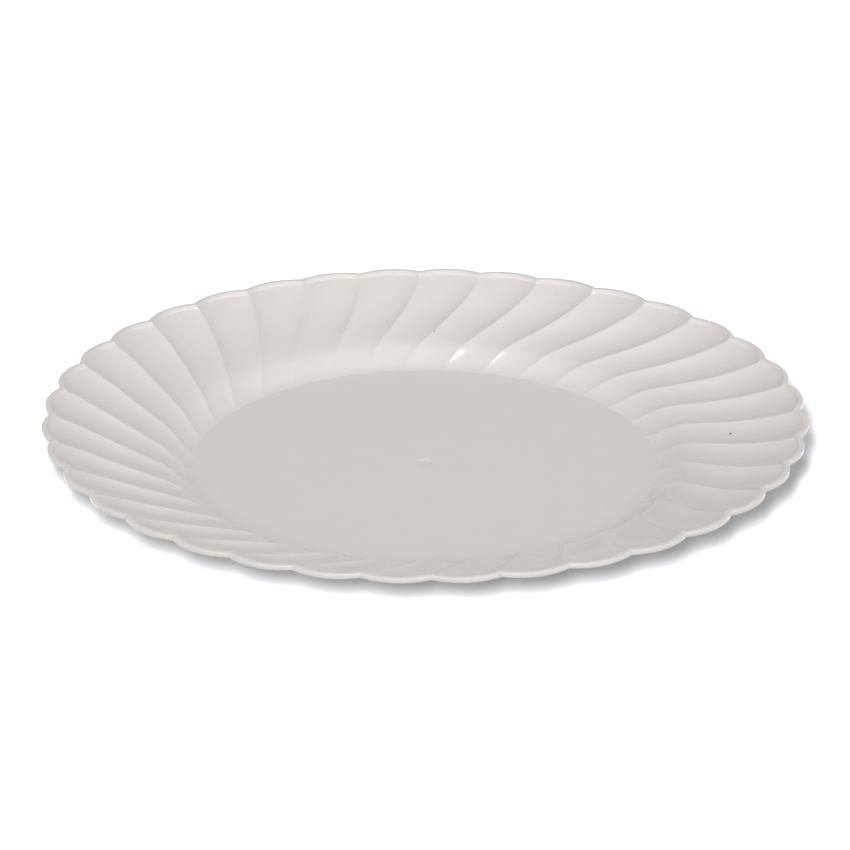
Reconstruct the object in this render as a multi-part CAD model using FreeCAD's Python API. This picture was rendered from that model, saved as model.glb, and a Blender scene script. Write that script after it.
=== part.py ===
"""Disposable plastic plate: one injection-moulded piece with a swirled, fluted rim.

Frame: millimetres, +Z up, origin on the plate's axis at the underside of the base.
The plate is built from one sector of its skin: a flute between two swirled ridges and
the stretch of scalloped lip outside it.  The sector is patterned round the axis,
closed with the flats of the lip and of the well, and sewn into a single solid.
"""
import FreeCAD, Part
import math
import os

from FreeCAD import Vector

# ---- driving dimensions (mm, degrees) -----------------------------------------------
OVERALL_DIAMETER = 228.6        # across opposite scallop tips
OVERALL_HEIGHT = 17.8           # base to top of lip
FLUTE_COUNT = 36                # flutes, ridges and scallops
SCALLOP_DEPTH = 2.3             # tip radius minus notch radius
WALL = 0.9                      # moulded wall of rim and side
BASE_THICKNESS = 1.0            # wall of the flat well
WELL_DIAMETER = 141.8           # the ridges' side line meets the well floor here
SIDE_RUN = 7.1                  # plan width of the side, from there out to the shoulder
SHOULDER_DROP = 11.15           # from lip top down to where side line meets rim line
SHOULDER_RADIUS = 12.0          # rounding of a ridge over the shoulder
WELL_RADIUS = 8.0               # rounding of a ridge into the well floor

LIP_WIDTH = 2.2                 # lip band, from its outer edge to the end of a flute
LIP_FLAT = 1.4                  # level part of that band, from the outer edge
LIP_EDGE = 1.4                  # height of the lip's outer edge
LIP_CHAMFER = 0.3               # softening of the outer top edge
LIP_DROP_AT_RIDGE = 1.2         # step from lip top down to the end of a ridge
LIP_DROP_AT_FLUTE = 1.4         # step from lip top down to the middle of a flute
LIP_UNDER_FLAT = 1.0            # level part of the band's underside

FLUTE_DEPTH = 1.6               # ridge above flute, halfway across the rim
SHOULDER_FLUTE_DEPTH = 0.65     # the same at the shoulder
FOOT_OFFSET = 0.4               # how far a ridge's foot runs in past its flute
RIM_SAG = 0.3                   # hollow of the ridge line between lip and shoulder

SWIRL_AT_SHOULDER = 10.35       # turn of a ridge from the lip to the shoulder
SWIRL_AT_WELL = 14.15           # turn of a ridge from the lip to the well
SWIRL_POWER = 1.8               # how late the turn comes: 1 is even, 2 is late
SWIRL_RATE_AT_WELL = 0.25       # degrees of turn per mm of radius at the well

GATE_MARK_DIAMETER = 4.0        # shallow dimple over the moulding gate
GATE_MARK_DEPTH = 0.2
GATE_RECESS_DIAMETER = 9.0      # recess round the gate stub, under the base
GATE_RECESS_DEPTH = 0.3
GATE_STUB_DIAMETER = 2.2

# ---- how finely the skin is drawn -----------------------------------------------------
STRIPS = 4                      # ruled strips across one flute
RIM_STEPS = 4                   # stretches along the rim part of a section
CORNER_STEPS = 3                # stretches round each corner of a section
SEW_TOLERANCE = 0.001

# ---- values worked out from them ----------------------------------------------------
TIP_R = OVERALL_DIAMETER / 2
NOTCH_R = TIP_R - SCALLOP_DEPTH
WELL_R = WELL_DIAMETER / 2
SHOULDER_R = WELL_R + SIDE_RUN
FLUTE_TOP_R = TIP_R - LIP_WIDTH
MID_RIM_R = (SHOULDER_R + NOTCH_R) / 2
SWIRL_SPAN = FLUTE_TOP_R - SHOULDER_R

HALF_PITCH = math.pi / FLUTE_COUNT
HALF_CHORD = NOTCH_R * math.sin(HALF_PITCH)
BULGE = TIP_R - NOTCH_R * math.cos(HALF_PITCH)
SCALLOP_R = (HALF_CHORD ** 2 + BULGE ** 2) / (2 * BULGE)
SCALLOP_CENTRE = TIP_R - SCALLOP_R

ORIGIN = Vector(0, 0, 0)
UP = Vector(0, 0, 1)
INWARD = Vector(-1, 0, 0)


def polar(radius, angle, z):
    """Point at a radius, an angle in radians and a height."""
    return Vector(radius * math.cos(angle), radius * math.sin(angle), z)


def mix(first, second, share):
    return first + (second - first) * share


def hollow(share):
    """How much a point across the flute has sunk: 0 on a ridge, 1 in the middle."""
    return 4 * share * (1 - share)


def flute_angle(share):
    """Angle off the sector's middle at a share of the flute, before any swirl."""
    return (2 * share - 1) * HALF_PITCH


# ---- plan: scalloped outline and swirl ----------------------------------------------
def outline_radius(inset, angle):
    """Radius of the scalloped outline, set in by inset, at an angle off its middle."""
    across = SCALLOP_CENTRE * math.sin(angle)
    return SCALLOP_CENTRE * math.cos(angle) + math.sqrt((SCALLOP_R - inset) ** 2 - across ** 2)


def scallop_arc(inset, z, first=0.0, last=1.0):
    """One scallop of the outline, set in by inset, between two shares of the flute."""
    points = []
    for share in (first, mix(first, last, 0.5), last):
        angle = flute_angle(share)
        points.append(polar(outline_radius(inset, angle), angle, z))
    return Part.Arc(*points).toShape()


def swirl(radius):
    """Turn of a ridge, in radians, at a radius: late and steep, then easing on the side."""
    rate = SWIRL_AT_SHOULDER * SWIRL_POWER / SWIRL_SPAN
    if radius >= SHOULDER_R:
        reach = max(FLUTE_TOP_R - radius, 0) / SWIRL_SPAN
        return math.radians(SWIRL_AT_SHOULDER * reach ** SWIRL_POWER)
    t = min((SHOULDER_R - radius) / SIDE_RUN, 1.0)
    turn = SWIRL_AT_SHOULDER * (2 * t ** 3 - 3 * t ** 2 + 1)
    turn += SWIRL_AT_WELL * (3 * t ** 2 - 2 * t ** 3)
    turn += SIDE_RUN * rate * (t ** 3 - 2 * t ** 2 + t)
    turn += SIDE_RUN * SWIRL_RATE_AT_WELL * (t ** 3 - t ** 2)
    turn += SWIRL_RATE_AT_WELL * max(WELL_R - radius, 0)
    return math.radians(turn)


# ---- section: rim, shoulder, side and foot ------------------------------------------
def corner(before, at, after, radius):
    """Points along the arc that rounds a corner of a section, ends included."""
    to_before = (before - at).normalize()
    to_after = (after - at).normalize()
    turn = math.pi - to_before.getAngle(to_after)
    centre = at + (to_before + to_after).normalize() * (radius / math.cos(turn / 2))
    spoke = at + to_before * (radius * math.tan(turn / 2)) - centre
    last = at + to_after * (radius * math.tan(turn / 2)) - centre
    arm = spoke.cross(last).normalize().cross(spoke)
    points = []
    for step in range(CORNER_STEPS + 1):
        angle = turn * step / CORNER_STEPS
        points.append(centre + spoke * math.cos(angle) + arm * math.sin(angle))
    return points


def top_corners(share):
    """Upper section at a share of the flute: lip end, shoulder and foot."""
    depth = hollow(share)
    lip_r = outline_radius(LIP_WIDTH, flute_angle(share))
    lip_drop = mix(LIP_DROP_AT_RIDGE, LIP_DROP_AT_FLUTE, depth)
    shoulder_drop = SHOULDER_DROP + SHOULDER_FLUTE_DEPTH * depth
    set_out = FOOT_OFFSET * depth
    lip_end = Vector(lip_r, 0, OVERALL_HEIGHT - lip_drop)
    shoulder = Vector(SHOULDER_R + set_out, 0, OVERALL_HEIGHT - shoulder_drop)
    foot = Vector(WELL_R + set_out, 0, BASE_THICKNESS)
    return lip_end, shoulder, foot


def sag(share):
    """Sag of the rim line at a share of the flute, below its own straight chord."""
    def chord_z(at_share):
        high, low, _ = top_corners(at_share)
        return mix(low.z, high.z, (MID_RIM_R - low.x) / (high.x - low.x))

    return RIM_SAG + FLUTE_DEPTH * hollow(share) - (chord_z(0) - chord_z(share))


def offset_line(first, second, distance):
    """A section line moved square to itself, to the far side of the wall."""
    along = (second - first).normalize()
    square = Vector(-along.z, 0, along.x) * distance
    return first + square, second + square


def meet(first, second, third, fourth):
    """Where two section lines cross."""
    one = second - first
    two = fourth - third
    gap = third - first
    t = (gap.x * two.z - gap.z * two.x) / (one.x * two.z - one.z * two.x)
    return first + one * t


def under_corners(share):
    """Under section at a share of the flute, one wall below the upper one."""
    lip_end, shoulder, foot = top_corners(share)
    rim = offset_line(lip_end, shoulder, WALL)
    side = offset_line(shoulder, foot, WALL)
    under_lip = Vector(lip_end.x + WALL / 2, 0, 0)
    lip_end = meet(*rim, under_lip, under_lip + UP)
    shoulder = meet(*rim, *side)
    foot = meet(*side, ORIGIN, INWARD)
    return lip_end, shoulder, foot


def section_points(share, under):
    """Points of the rounded, sagging section from the lip to the flat of the well."""
    start, shoulder, foot = under_corners(share) if under else top_corners(share)
    wall = WALL if under else 0
    over = corner(start, shoulder, foot, SHOULDER_RADIUS - wall)
    into = corner(shoulder, foot, foot + INWARD, WELL_RADIUS + wall)
    depth = sag(share)
    points = []
    for step in range(RIM_STEPS):
        t = step / RIM_STEPS
        point = mix(start, over[0], t)
        point.z -= depth * hollow(t) ** 2
        points.append(point)
    return points + over + into


def swept_section(share, under):
    """The section at a share of the flute, carried round by the swirl into a 3-D spline.

    It leaves the side along the swirl and level, so that it runs out flat on the well.
    """
    points = []
    for point in section_points(share, under):
        points.append(polar(point.x, flute_angle(share) + swirl(point.x), point.z))
    end_r = math.hypot(points[-1].x, points[-1].y)
    bearing = math.atan2(points[-1].y, points[-1].x)
    drift = end_r * math.radians(SWIRL_RATE_AT_WELL)
    heading = polar(-1, bearing, 0) + polar(drift, bearing + math.pi / 2, 0)
    start = (points[1] - points[0]).normalize()
    curve = Part.BSplineCurve()
    finish = heading.normalize()
    curve.interpolate(Points=points, InitialTangent=start, FinalTangent=finish, Scale=False)
    return curve.toShape()


# ---- skins of one sector --------------------------------------------------------------
def strip(first, second):
    return Part.makeRuledSurface(first, second)


def shares():
    return [step / STRIPS for step in range(STRIPS + 1)]


def skin_end(share, under, index):
    """Swirled end of a section: index 0 is at the lip, -1 at the well."""
    point = section_points(share, under)[index]
    return polar(point.x, flute_angle(share) + swirl(point.x), point.z)


def skin(under):
    """Ruled strips of one flute, between sections from ridge to ridge."""
    sections = [swept_section(share, under) for share in shares()]
    return [strip(first, second) for first, second in zip(sections, sections[1:])]


def lip_step(inset, z, under):
    """Wall from the lip's flat, at inset and z, to the outer ends of a skin's strips."""
    walls = []
    for first, last in zip(shares(), shares()[1:]):
        start = skin_end(first, under, 0)
        finish = skin_end(last, under, 0)
        walls.append(strip(scallop_arc(inset, z, first, last), Part.makeLine(start, finish)))
    return walls


def rim_edge():
    """Outer edge of the lip round one scallop, with its softened top."""
    brow = scallop_arc(LIP_CHAMFER, OVERALL_HEIGHT)
    edge_top = scallop_arc(0, OVERALL_HEIGHT - LIP_CHAMFER)
    edge_bottom = scallop_arc(0, OVERALL_HEIGHT - LIP_EDGE)
    return [strip(brow, edge_top), strip(edge_top, edge_bottom)]


def patterned(shapes):
    """Copies of the shapes at every flute's place round the axis."""
    copies = []
    for index in range(FLUTE_COUNT):
        for shape in shapes:
            copy = shape.copy()
            copy.rotate(ORIGIN, UP, 360 / FLUTE_COUNT * index)
            copies.append(copy)
    return copies


def disc(edges):
    """Level face round the axis, inside the edges of one sector and their copies."""
    return Part.Face(Part.Wire(Part.__sortEdges__(patterned(edges))))


def strip_arcs(inset, z):
    return [scallop_arc(inset, z, first, last) for first, last in zip(shares(), shares()[1:])]


def foot_edges(under):
    """Inner ends of a skin's strips, on the flat of the well."""
    ends = [skin_end(share, under, -1) for share in shares()]
    return [Part.makeLine(start, finish) for start, finish in zip(ends, ends[1:])]


# ---- the plate --------------------------------------------------------------------------
def flats():
    """Level faces: top and underside of the lip, floor and underside of the well."""
    under_z = OVERALL_HEIGHT - LIP_EDGE
    lip_top = disc([scallop_arc(LIP_CHAMFER, OVERALL_HEIGHT)])
    lip_under = disc([scallop_arc(0, under_z)])
    return [
        lip_top.cut(disc(strip_arcs(LIP_FLAT, OVERALL_HEIGHT))),
        lip_under.cut(disc(strip_arcs(LIP_UNDER_FLAT, under_z))),
        disc(foot_edges(under=False)),
        disc(foot_edges(under=True)),
    ]


def shell_of_plate():
    sector = skin(under=False) + skin(under=True) + rim_edge()
    sector += lip_step(LIP_FLAT, OVERALL_HEIGHT, under=False)
    sector += lip_step(LIP_UNDER_FLAT, OVERALL_HEIGHT - LIP_EDGE, under=True)
    sewn = Part.Compound(flats() + patterned(sector))
    sewn.sewShape(SEW_TOLERANCE)
    return sewn.Shells[0]


def with_gate_mark(body):
    """Dimple on the well above the gate; recess and stub below it."""
    dimple_floor = Vector(0, 0, BASE_THICKNESS - GATE_MARK_DEPTH)
    dimple = Part.makeCylinder(GATE_MARK_DIAMETER / 2, BASE_THICKNESS, dimple_floor)
    recess = Part.makeCylinder(GATE_RECESS_DIAMETER / 2, GATE_RECESS_DEPTH)
    stub = Part.makeCylinder(GATE_STUB_DIAMETER / 2, GATE_RECESS_DEPTH)
    return body.cut(dimple).cut(recess.cut(stub))


def plate():
    solid = Part.Solid(shell_of_plate())
    if solid.Volume < 0:
        solid.reverse()
    return with_gate_mark(solid)


os.makedirs("parts", exist_ok=True)
plate().exportStep("parts/plate.step")
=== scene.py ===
"""Looks of the disposable plastic plate: its moulded skin, its plastic and a plain studio."""

import math

import bpy
from mathutils import Matrix, Vector


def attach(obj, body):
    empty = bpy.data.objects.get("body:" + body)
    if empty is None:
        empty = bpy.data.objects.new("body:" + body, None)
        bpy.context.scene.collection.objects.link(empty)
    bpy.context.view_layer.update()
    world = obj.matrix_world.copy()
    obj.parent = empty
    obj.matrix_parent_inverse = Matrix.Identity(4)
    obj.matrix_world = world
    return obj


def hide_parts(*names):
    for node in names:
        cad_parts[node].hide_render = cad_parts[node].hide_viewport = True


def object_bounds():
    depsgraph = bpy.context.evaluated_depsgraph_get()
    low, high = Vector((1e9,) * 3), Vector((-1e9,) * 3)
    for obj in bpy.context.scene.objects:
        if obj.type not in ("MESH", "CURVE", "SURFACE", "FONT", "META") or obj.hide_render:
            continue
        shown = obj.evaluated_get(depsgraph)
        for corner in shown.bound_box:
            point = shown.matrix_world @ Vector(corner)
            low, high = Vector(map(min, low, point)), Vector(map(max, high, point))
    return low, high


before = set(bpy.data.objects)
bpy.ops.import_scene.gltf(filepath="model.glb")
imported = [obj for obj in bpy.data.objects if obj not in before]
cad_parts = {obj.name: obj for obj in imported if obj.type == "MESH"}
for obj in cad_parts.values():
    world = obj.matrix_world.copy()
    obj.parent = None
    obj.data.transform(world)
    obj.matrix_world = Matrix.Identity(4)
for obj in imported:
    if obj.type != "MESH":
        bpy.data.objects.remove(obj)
cad_low, cad_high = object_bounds()

# ---- sizes, in millimetres unless a comment says otherwise ------------------------------
MM = 0.001                      # one millimetre, in metres
TIP_R = (cad_high.x - cad_low.x) / 2 / MM
TOP_Z = cad_high.z / MM
FLUTES = 36
SCALLOP_DEPTH = 2.3             # from a scallop's tip in to the notch beside it
WALL = 0.9                      # thickness of rim and side
FLOOR_Z = 1.0                   # height of the flat of the well

# the side, between the rim's shoulder and the well
WELL_R = 70.9                   # where side and flat would meet with nothing rounded
SIDE_RUN = 7.1                  # from there out to the shoulder
SHOULDER_DROP = 11.15           # from the top down to the shoulder, at a ridge
SHOULDER_RADIUS = 12.0
WELL_RADIUS = 8.0               # of the curve at the foot of the side
WELL_EDGE = math.radians(17)    # slope at which that curve ends on the flat, in a crisp edge
WELL_EDGE_ROUND = 0.5

# the lip and the small step inside it
LIP_WIDTH = 2.02
LIP_FLAT = 1.6
LIP_EDGE = 1.4                  # depth of the outer edge
LIP_DROP_AT_RIDGE = 1.2         # foot of the step, below the top
LIP_DROP_AT_FLUTE = 1.4
LIP_UNDER_FLAT = 1.0
LIP_TOP_ROUND = 0.3
LIP_BOTTOM_ROUND = 0.15
STEP_KNEE = 1.74                # inset at which the step gets less steep
STEP_KNEE_DROP = 0.7
STEP_ROUND = 0.15
STEP_KNEE_ROUND = 0.1
STEP_FILLET = 0.15
UNDER_FILLET = 0.2

# the flutes
FLUTE_DEPTH = 1.6               # halfway along the rim
SHOULDER_FLUTE_DEPTH = 0.65
FOOT_OFFSET = 0.4               # how much farther out shoulder and foot lie in a flute's middle
RIM_SAG = 0.3                   # of a ridge, halfway along the rim
RIDGE_SOFTNESS = 0.007          # share of a flute over which a ridge is rounded
FLUTE_ROUNDNESS = 2.7           # 2 is a plain parabola; more is a flatter floor, steeper banks

SWIRL_AT_SHOULDER = 10.35       # degrees
SWIRL_AT_WELL = 14.15           # degrees
SWIRL_POWER = 1.8
SWIRL_RATE_AT_WELL = 0.25       # degrees per millimetre

# the gate: a dimple in the well, and below it a recess with the broken-off stub
DIMPLE_R = 2.0
DIMPLE_DEPTH = 0.2
DIMPLE_ROUND = 0.2
RECESS_R = 4.5
RECESS_DEPTH = 0.3
STUB_R = 1.1
GATE_BEVEL = 0.1

# ---- how finely the skin is drawn -------------------------------------------------------
COLUMNS = 18                    # across one flute
CROWDING = 0.75                 # how much those columns crowd towards the ridges
TOP_STEPS = (16, 9, 5)          # along the rim, round a corner, down the side
UNDER_STEPS = (10, 6, 3)
WELL_EDGE_STEPS = 3
WELL_RINGS = (5, 12, 24, 36, 48, 60)    # radii of the rings across the flat of the well
BASE_RINGS = (20, 40, 55)               # and across the base

# ---- sizes that follow from these -------------------------------------------------------
NOTCH_R = TIP_R - SCALLOP_DEPTH
SHOULDER_R = WELL_R + SIDE_RUN
FLUTE_TOP_R = TIP_R - LIP_WIDTH
MID_RIM_R = (SHOULDER_R + NOTCH_R) / 2
SWIRL_SPAN = FLUTE_TOP_R - SHOULDER_R
HALF_PITCH = math.pi / FLUTES
HALF_CHORD = NOTCH_R * math.sin(HALF_PITCH)
BULGE = TIP_R - NOTCH_R * math.cos(HALF_PITCH)
SCALLOP_R = (HALF_CHORD ** 2 + BULGE ** 2) / (2 * BULGE)
SCALLOP_CENTRE = TIP_R - SCALLOP_R
OUTWARD = Vector((1, 0))        # in a section, which is (radius, height)


# ---- lines in a section -----------------------------------------------------------------
def mix(first, second, share):
    return first + (second - first) * share


def rounded(before, at, after, radius, steps):
    """Points of the arc that rounds a corner, both its ends included."""
    to_before = (before - at).normalized()
    to_after = (after - at).normalized()
    turn = math.pi - to_before.angle(to_after)
    centre = at + (to_before + to_after).normalized() * (radius / math.cos(turn / 2))
    first = at + to_before * (radius * math.tan(turn / 2)) - centre
    last = at + to_after * (radius * math.tan(turn / 2)) - centre
    side = 1 if first.x * last.y - first.y * last.x > 0 else -1
    square = Vector((-first.y, first.x)) * side
    points = []
    for step in range(steps + 1):
        angle = turn * step / steps
        points.append(centre + first * math.cos(angle) + square * math.sin(angle))
    return points


def rounded_line(start, corners, end):
    """Arcs of a line from start to end that rounds its corners: (corner, radius, steps)."""
    stops = [start] + [corner for corner, _, _ in corners] + [end]
    points = []
    for index, (corner, radius, steps) in enumerate(corners):
        points += rounded(stops[index], corner, stops[index + 2], radius, steps)
    return points


def offset_line(first, second, distance):
    along = (second - first).normalized()
    square = Vector((-along.y, along.x)) * distance
    return first + square, second + square


def meet(first, second, third, fourth):
    """Where the line through the first two points crosses the line through the others."""
    one = second - first
    two = fourth - third
    gap = third - first
    share = (gap.x * two.y - gap.y * two.x) / (one.x * two.y - one.y * two.x)
    return first + one * share


# ---- the plate's form -------------------------------------------------------------------
# A share runs across one flute, from 0 at a ridge to 1 at the next.
def hollow(share):
    """How far the flute has sunk at a share: 0 at its ridges, 1 in its middle."""
    def softened(from_ridge):
        return math.hypot(from_ridge, RIDGE_SOFTNESS) - RIDGE_SOFTNESS

    from_middle = 1 - softened(min(share, 1 - share)) / softened(0.5)
    return 1 - from_middle ** FLUTE_ROUNDNESS


def flute_angle(share):
    """Angle off the flute's middle, at the lip."""
    return (2 * share - 1) * HALF_PITCH


def outline_radius(inset, angle):
    """Radius of the scalloped outline, set in by inset, at an angle off its middle."""
    across = SCALLOP_CENTRE * math.sin(angle)
    return SCALLOP_CENTRE * math.cos(angle) + math.sqrt((SCALLOP_R - inset) ** 2 - across ** 2)


def swirl(radius):
    """Turn of a ridge at a radius, in radians: a power law down the rim, then a cubic."""
    rate = SWIRL_AT_SHOULDER * SWIRL_POWER / SWIRL_SPAN
    if radius >= SHOULDER_R:
        reach = max(FLUTE_TOP_R - radius, 0) / SWIRL_SPAN
        return math.radians(SWIRL_AT_SHOULDER * reach ** SWIRL_POWER)
    t = min((SHOULDER_R - radius) / SIDE_RUN, 1.0)
    turn = SWIRL_AT_SHOULDER * (2 * t ** 3 - 3 * t ** 2 + 1)
    turn += SWIRL_AT_WELL * (3 * t ** 2 - 2 * t ** 3)
    turn += SIDE_RUN * rate * (t ** 3 - 2 * t ** 2 + t)
    turn += SIDE_RUN * SWIRL_RATE_AT_WELL * (t ** 3 - t ** 2)
    turn += SWIRL_RATE_AT_WELL * max(WELL_R - radius, 0)
    return math.radians(turn)


def top_corners(share):
    """Corners of the upper section at a share: foot of the lip's step, shoulder, foot."""
    depth = hollow(share)
    lip_r = outline_radius(LIP_WIDTH, flute_angle(share))
    lip_drop = mix(LIP_DROP_AT_RIDGE, LIP_DROP_AT_FLUTE, depth)
    shoulder_drop = SHOULDER_DROP + SHOULDER_FLUTE_DEPTH * depth
    set_out = FOOT_OFFSET * depth
    lip_end = Vector((lip_r, TOP_Z - lip_drop))
    shoulder = Vector((SHOULDER_R + set_out, TOP_Z - shoulder_drop))
    foot = Vector((WELL_R + set_out, FLOOR_Z))
    return lip_end, shoulder, foot


def under_corners(share):
    """Corners of the section below, one wall away from the upper ones."""
    lip_end, shoulder, foot = top_corners(share)
    rim = offset_line(lip_end, shoulder, WALL)
    side = offset_line(shoulder, foot, WALL)
    under_lip = Vector((lip_end.x + WALL / 2, 0))
    lip_end = meet(*rim, under_lip, under_lip + Vector((0, 1)))
    return lip_end, meet(*rim, *side), meet(*side, Vector((0, 0)), OUTWARD)


def sag(share):
    """Sag of the rim's line at a share, halfway along, below the chord of its own ends."""
    def chord_z(at_share):
        high, low, _ = top_corners(at_share)
        return mix(low.y, high.y, (MID_RIM_R - low.x) / (high.x - low.x))

    return RIM_SAG + FLUTE_DEPTH * hollow(share) - (chord_z(0) - chord_z(share))


def well_edge(shoulder, foot, steps):
    """Long curve at the foot of the side, which ends in a crisp edge on the flat."""
    slope = math.atan2(shoulder.y - foot.y, shoulder.x - foot.x)
    curve_end = foot.x - WELL_RADIUS * math.tan(slope / 2)
    edge = Vector((curve_end + WELL_RADIUS * math.tan(WELL_EDGE / 2), foot.y))
    up = edge + Vector((math.cos(WELL_EDGE), math.sin(WELL_EDGE)))
    corner = meet(shoulder, foot, edge, up)
    corners = ((corner, WELL_RADIUS, steps), (edge, WELL_EDGE_ROUND, WELL_EDGE_STEPS))
    return rounded_line(shoulder, corners, edge - OUTWARD)


def skin_section(share, under):
    """Points of the upper skin, or the one under it, from inside the lip to the flat."""
    rim_steps, corner_steps, side_steps = UNDER_STEPS if under else TOP_STEPS
    start, shoulder, foot = under_corners(share) if under else top_corners(share)
    wall = WALL if under else 0
    over = rounded(start, shoulder, foot, SHOULDER_RADIUS - wall, corner_steps)
    if under:
        into = rounded(shoulder, foot, foot - OUTWARD, WELL_RADIUS + wall, corner_steps)
    else:
        into = well_edge(shoulder, foot, corner_steps)
    depth = sag(share)
    points = []
    for step in range(rim_steps):
        t = step / rim_steps
        point = mix(start, over[0], t)
        point.y -= depth * (4 * t * (1 - t)) ** 2
        points.append(point)
    points += over
    for step in range(1, side_steps):
        points.append(mix(over[-1], into[0], step / side_steps))
    return points + into


def lip_section(share, rim_top, rim_under):
    """Points of the lip, from the flute's end round to the under skin.

    They are worked out as (inset, height), then each inset is turned into a radius.
    """
    angle = flute_angle(share)

    def as_inset(point):
        return Vector((outline_radius(0, angle) - point.x, point.y))

    corners = (
        (as_inset(rim_top[0]), STEP_FILLET, 4),
        (Vector((STEP_KNEE, TOP_Z - STEP_KNEE_DROP)), STEP_KNEE_ROUND, 2),
        (Vector((LIP_FLAT, TOP_Z)), STEP_ROUND, 4),
        (Vector((0, TOP_Z)), LIP_TOP_ROUND, 5),
        (Vector((0, TOP_Z - LIP_EDGE)), LIP_BOTTOM_ROUND, 3),
        (Vector((LIP_UNDER_FLAT, TOP_Z - LIP_EDGE)), UNDER_FILLET, 2),
        (as_inset(rim_under[0]), UNDER_FILLET, 2),
    )
    line = rounded_line(as_inset(rim_top[1]), corners, as_inset(rim_under[1]))
    return [Vector((outline_radius(point.x, angle), point.y)) for point in line]


def well_line():
    """Points from the middle of the well, over its dimple, out to its edge."""
    rim = Vector((DIMPLE_R, FLOOR_Z))
    floor = Vector((DIMPLE_R - DIMPLE_ROUND, FLOOR_Z - DIMPLE_DEPTH))
    start = Vector((DIMPLE_R / 2, floor.y))
    corners = ((floor, DIMPLE_ROUND, 2), (rim, DIMPLE_ROUND, 3))
    line = [start] + rounded_line(start, corners, rim + OUTWARD)
    return line + [Vector((radius, FLOOR_Z)) for radius in WELL_RINGS]


def base_line():
    """Points from the middle of the underside, over stub and recess, outward."""
    line = [
        Vector((STUB_R - GATE_BEVEL, 0)),
        Vector((STUB_R, GATE_BEVEL)),
        Vector((STUB_R, RECESS_DEPTH)),
        Vector((RECESS_R, RECESS_DEPTH)),
        Vector((RECESS_R, GATE_BEVEL)),
        Vector((RECESS_R + GATE_BEVEL, 0)),
    ]
    return line + [Vector((radius, 0)) for radius in BASE_RINGS]


def section(share):
    """One whole section, from the middle of the well, over the lip, to the middle below."""
    top = skin_section(share, False)
    under = skin_section(share, True)
    lip = lip_section(share, top, under)
    return well_line() + top[:0:-1] + lip + under[1:] + base_line()[::-1]


def column_shares():
    """Shares at which a section is taken, crowded towards the ridges."""
    shares = []
    for index in range(COLUMNS):
        t = index / COLUMNS
        shares.append(t - CROWDING * math.sin(2 * math.pi * t) / (2 * math.pi))
    return shares


def plate_mesh():
    """The plate's whole skin: sections joined all the way round, closed in both middles."""
    shares = column_shares()
    sections = [section(share) for share in shares]
    rows = len(sections[0])
    columns = COLUMNS * FLUTES
    vertices = []
    for row in range(rows):
        for flute in range(FLUTES):
            for share, line in zip(shares, sections):
                radius, height = line[row]
                angle = 2 * HALF_PITCH * flute + flute_angle(share) + swirl(radius)
                vertices.append((radius * math.cos(angle), radius * math.sin(angle), height))
    last_row = (rows - 1) * columns
    faces = []
    for first in range(0, last_row, columns):
        second = first + columns
        for column in range(columns):
            beside = (column + 1) % columns
            faces.append((first + column, second + column, second + beside, first + beside))
    middle_above = len(vertices)
    middle_below = middle_above + 1
    vertices += [(0, 0, FLOOR_Z - DIMPLE_DEPTH), (0, 0, 0)]
    for column in range(columns):
        beside = (column + 1) % columns
        faces.append((middle_above, column, beside))
        faces.append((middle_below, last_row + beside, last_row + column))
    mesh = bpy.data.meshes.new("plate_skin")
    mesh.from_pydata([Vector(vertex) * MM for vertex in vertices], [], faces)
    mesh.polygons.foreach_set("use_smooth", [True] * len(mesh.polygons))
    mesh.update()
    return mesh


# ---- materials --------------------------------------------------------------------------
# A colour is linear red, green and blue. A noise is (lumps a metre, detail).
PINKISH = (0.686, 0.642, 0.622)
GREENISH = (0.674, 0.643, 0.616)
HUE_NOISE = (26, 2)
HUE_TURN = (0.35, 0.65)         # noise values between which one white turns into the other
DEEPER = (0.650, 0.614, 0.594)
CLOUD_NOISE = (140, 4)
CLOUD = (0, 0.4)                # least and most of the deeper tone that shows
GLOSS_NOISE = (60, 3)
ROUGHNESS = (0.17, 0.24)
FULL_TURN = (0.3, 0.7)          # noise values between which cloud and gloss go all the way
IOR = 1.5
WAVE_NOISE = (45, 1)
WAVE_HEIGHT = 0.04              # millimetres
GRAIN_NOISE = (700, 2)
GRAIN_HEIGHT = 0.002            # millimetres

FLECK_COLOUR = (0.05, 0.045, 0.04)
FLECK_CORE = 0.6                # share of a fleck's size out to which it is solid
FLECKS = (                      # radius, angle in degrees, height, size, strength
    (91.7, 5.6, 9.3, 0.55, 0.95),
    (83.9, 92.1, 8.35, 0.35, 0.75),
    (107.9, 71.0, 14.9, 0.35, 0.35),
    (64.0, 205.0, 1.0, 0.22, 0.35),
    (38.0, 318.0, 1.0, 0.18, 0.3),
)

GROUND_COLOUR = (0.44, 0.45, 0.465)
GROUND_ROUGHNESS = 0.9
GROUND_GLOW = (0.125, 0.26)     # round the plate, and far away where the ground lamp is weaker
GLOW_REACH = (0.15, 0.45)       # metres from the plate's axis between which it grows

MIX_COLOURS = (6, 7)            # a Mix node's two colour inputs
MIX_RESULT = 2                  # and its colour output


def new_material(name):
    material = bpy.data.materials.new(name)
    material.use_nodes = True
    return material


def noise(tree, place, lumps, detail):
    """Cloudy noise, with its number of lumps a metre and its detail."""
    texture = tree.nodes.new("ShaderNodeTexNoise")
    texture.inputs["Scale"].default_value = lumps
    texture.inputs["Detail"].default_value = detail
    tree.links.new(place, texture.inputs["Vector"])
    return texture.outputs["Fac"]


def spread(tree, value, between, to):
    """The value, stretched from one range to another and held at its ends."""
    ranged = tree.nodes.new("ShaderNodeMapRange")
    ranged.inputs["From Min"].default_value = between[0]
    ranged.inputs["From Max"].default_value = between[1]
    ranged.inputs["To Min"].default_value = to[0]
    ranged.inputs["To Max"].default_value = to[1]
    tree.links.new(value, ranged.inputs["Value"])
    return ranged.outputs["Result"]


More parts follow.
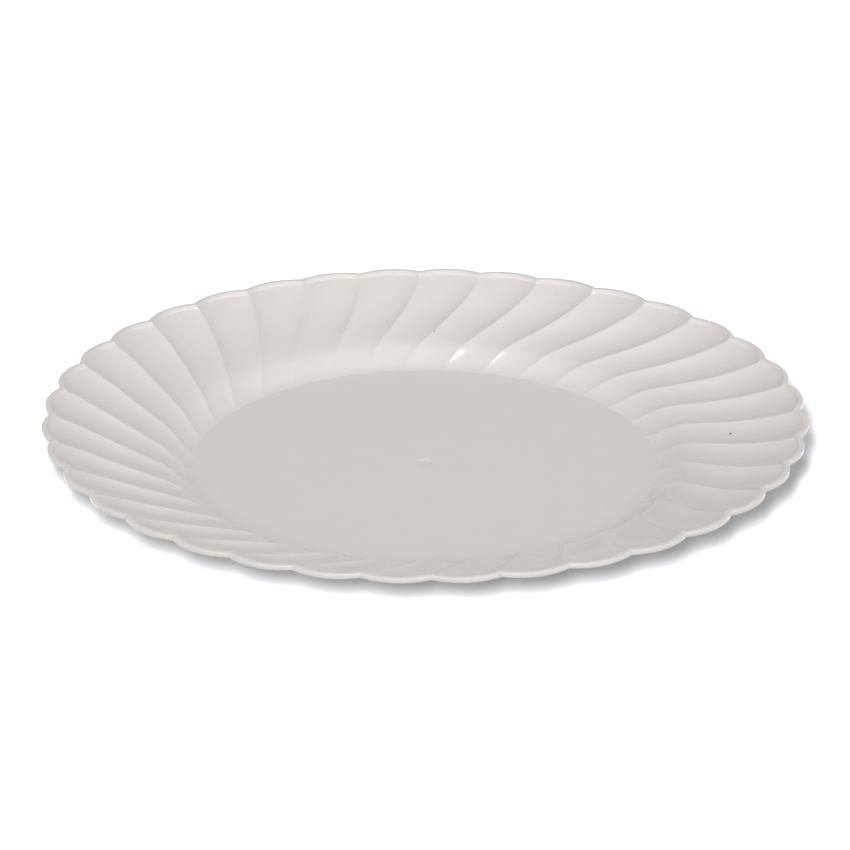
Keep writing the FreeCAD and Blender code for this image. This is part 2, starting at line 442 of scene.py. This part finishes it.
def blended(tree, share, first, second):
    """Colour between two, each a colour or the output of another node."""
    both = tree.nodes.new("ShaderNodeMix")
    both.data_type = "RGBA"
    tree.links.new(share, both.inputs["Factor"])
    for socket, colour in zip(MIX_COLOURS, (first, second)):
        if isinstance(colour, tuple):
            both.inputs[socket].default_value = (*colour, 1)
        else:
            tree.links.new(colour, both.inputs[socket])
    return both.outputs[MIX_RESULT]


def calculated(tree, operation, first, second):
    """What a Math node makes of the outputs of two others."""
    result = tree.nodes.new("ShaderNodeMath")
    result.operation = operation
    tree.links.new(first, result.inputs[0])
    tree.links.new(second, result.inputs[1])
    return result.outputs["Value"]


def bump(tree, relief, height):
    """Bump node for a relief of that height, in millimetres."""
    node = tree.nodes.new("ShaderNodeBump")
    node.inputs["Distance"].default_value = height * MM
    tree.links.new(relief, node.inputs["Height"])
    return node


def fleck(tree, place, radius, angle, height, size, strength):
    """The fleck's strength at its centre, given by radius, angle and height, and 0 beyond it."""
    turn = math.radians(angle)
    centre = Vector((radius * math.cos(turn), radius * math.sin(turn), height))
    away = tree.nodes.new("ShaderNodeVectorMath")
    away.operation = "DISTANCE"
    away.inputs[1].default_value = centre * MM
    tree.links.new(place, away.inputs[0])
    edge = (FLECK_CORE * size * MM, size * MM)
    return spread(tree, away.outputs["Value"], edge, (strength, 0))


def plastic():
    """Glossy warm-white polystyrene: slightly cloudy, slightly wavy, with a few flecks in it."""
    material = new_material("warm_white_plastic")
    tree = material.node_tree
    shader = tree.nodes["Principled BSDF"]
    place = tree.nodes.new("ShaderNodeTexCoord").outputs["Object"]

    hue = spread(tree, noise(tree, place, *HUE_NOISE), HUE_TURN, (0, 1))
    cloud = spread(tree, noise(tree, place, *CLOUD_NOISE), FULL_TURN, CLOUD)
    colour = blended(tree, cloud, blended(tree, hue, PINKISH, GREENISH), DEEPER)
    for measures in FLECKS:
        colour = blended(tree, fleck(tree, place, *measures), colour, FLECK_COLOUR)
    tree.links.new(colour, shader.inputs["Base Color"])

    gloss = spread(tree, noise(tree, place, *GLOSS_NOISE), FULL_TURN, ROUGHNESS)
    tree.links.new(gloss, shader.inputs["Roughness"])
    shader.inputs["IOR"].default_value = IOR

    wave = bump(tree, noise(tree, place, *WAVE_NOISE), WAVE_HEIGHT)
    grain = bump(tree, noise(tree, place, *GRAIN_NOISE), GRAIN_HEIGHT)
    tree.links.new(wave.outputs["Normal"], grain.inputs["Normal"])
    tree.links.new(grain.outputs["Normal"], shader.inputs["Normal"])
    return material


def ground_material():
    """White ground that keeps the shadow, with a glow that doesn't light the plate."""
    material = new_material("studio_ground")
    tree = material.node_tree
    shader = tree.nodes["Principled BSDF"]
    shader.inputs["Base Color"].default_value = (*GROUND_COLOUR, 1)
    shader.inputs["Roughness"].default_value = GROUND_ROUGHNESS
    shader.inputs["Emission Color"].default_value = (1, 1, 1, 1)

    rays = tree.nodes.new("ShaderNodeLightPath").outputs
    seen = calculated(tree, "MAXIMUM", rays["Is Camera Ray"], rays["Is Glossy Ray"])
    seen = calculated(tree, "MAXIMUM", seen, rays["Is Transmission Ray"])
    away = tree.nodes.new("ShaderNodeVectorMath")
    away.operation = "LENGTH"
    tree.links.new(tree.nodes.new("ShaderNodeTexCoord").outputs["Object"], away.inputs[0])
    glow = spread(tree, away.outputs["Value"], GLOW_REACH, GROUND_GLOW)
    shown = calculated(tree, "MULTIPLY", seen, glow)
    tree.links.new(shown, shader.inputs["Emission Strength"])
    return material


# ---- studio -----------------------------------------------------------------------------
CAMERA_AZIMUTH = math.radians(4.139)    # from -Y towards +X
CAMERA_ELEVATION = math.radians(24.023)
CAMERA_DISTANCE = 1.2508                # metres
CAMERA_LENS = 178.633                   # millimetres, as the sensor
CAMERA_SENSOR = 36
AIM_FORWARD = 0.0104                    # metres nearer than the plate's axis

SOFTBOX_SIZE = 2.4                      # metres
SOFTBOX_DISTANCE = 3.0                  # metres
SOFTBOXES = (                           # name, azimuth off the camera's, elevation, watts
    ("left_softbox", -75, 25, 14),
    ("front_left_softbox", -35, 28, 21),
    ("front_softbox", 0, 14, 19),
    ("front_right_softbox", 40, 30, 19),
    ("right_softbox", 73, 25, 19),
)
# the others: name, azimuth off the camera's, elevation, watts, distance, width, height
TOP_LAMP = ("top_lamp", 8, 69, 5.5, 1.5, 0.22, 0.08)
GROUND_LAMP = ("ground_lamp", -4.5, 31.5, 42, 0.95, 0.16, 0.29)
WORLD_STRENGTH = 0.385
GROUND_SIZE = 8                         # metres


def from_camera_frame(right, forward, height):
    """Point given in metres by how far right of and beyond the plate's axis it lies."""
    across = Vector((math.cos(CAMERA_AZIMUTH), math.sin(CAMERA_AZIMUTH), 0))
    beyond = Vector((-math.sin(CAMERA_AZIMUTH), math.cos(CAMERA_AZIMUTH), 0))
    return across * right + beyond * forward + Vector((0, 0, height))


def in_scene(name, data):
    item = bpy.data.objects.new(name, data)
    bpy.context.scene.collection.objects.link(item)
    return item


def add_camera():
    aim = from_camera_frame(0, -AIM_FORWARD, TOP_Z * MM)
    back = from_camera_frame(0, -math.cos(CAMERA_ELEVATION), math.sin(CAMERA_ELEVATION))
    camera = in_scene("camera", bpy.data.cameras.new("camera"))
    camera.data.lens = CAMERA_LENS
    camera.data.sensor_width = CAMERA_SENSOR
    turn = back.to_track_quat("Z", "Y").to_matrix().to_4x4()
    camera.matrix_world = Matrix.Translation(aim + back * CAMERA_DISTANCE) @ turn
    bpy.context.scene.camera = camera


def add_lamp(name, azimuth, elevation, watts, distance, width, height):
    """Soft oval lamp aimed at the plate, at an azimuth off the camera's and an elevation."""
    side = math.radians(azimuth)
    up = math.radians(elevation)
    reach = distance * math.cos(up)
    right = reach * math.sin(side)
    place = from_camera_frame(right, -reach * math.cos(side), distance * math.sin(up))
    lamp = bpy.data.lights.new(name, "AREA")
    lamp.shape = "ELLIPSE"
    lamp.size = width
    lamp.size_y = height
    lamp.energy = watts
    holder = in_scene(name, lamp)
    holder.location = place
    holder.rotation_euler = place.to_track_quat("Z", "Y").to_euler()
    return holder


def light_only(lamp, item):
    """The lamp lights this item alone, and the plate still throws its shadow there."""
    lit = bpy.data.collections.new(lamp.name + "_lights")
    lit.objects.link(item)
    lamp.light_linking.receiver_collection = lit


def add_world():
    world = bpy.data.worlds.new("studio")
    world.use_nodes = True
    background = world.node_tree.nodes["Background"]
    background.inputs["Color"].default_value = (1, 1, 1, 1)
    background.inputs["Strength"].default_value = WORLD_STRENGTH
    bpy.context.scene.world = world


def add_ground():
    """The ground, whose bounced light doesn't reach the plate."""
    bpy.ops.mesh.primitive_plane_add(size=GROUND_SIZE, location=(0, 0, 0))
    ground = bpy.context.object
    ground.name = "ground"
    ground.data.materials.append(ground_material())
    ground.visible_diffuse = False
    return ground


# ---- the scene --------------------------------------------------------------------------
plate = in_scene("plate_skin", plate_mesh())
plate.data.materials.append(plastic())
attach(plate, "root")
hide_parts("plate")

ground = add_ground()
for name, azimuth, elevation, watts in SOFTBOXES:
    add_lamp(name, azimuth, elevation, watts, SOFTBOX_DISTANCE, SOFTBOX_SIZE, SOFTBOX_SIZE)
add_lamp(*TOP_LAMP)
light_only(add_lamp(*GROUND_LAMP), ground)
add_world()
add_camera()
bpy.context.scene.view_settings.view_transform = "Standard"
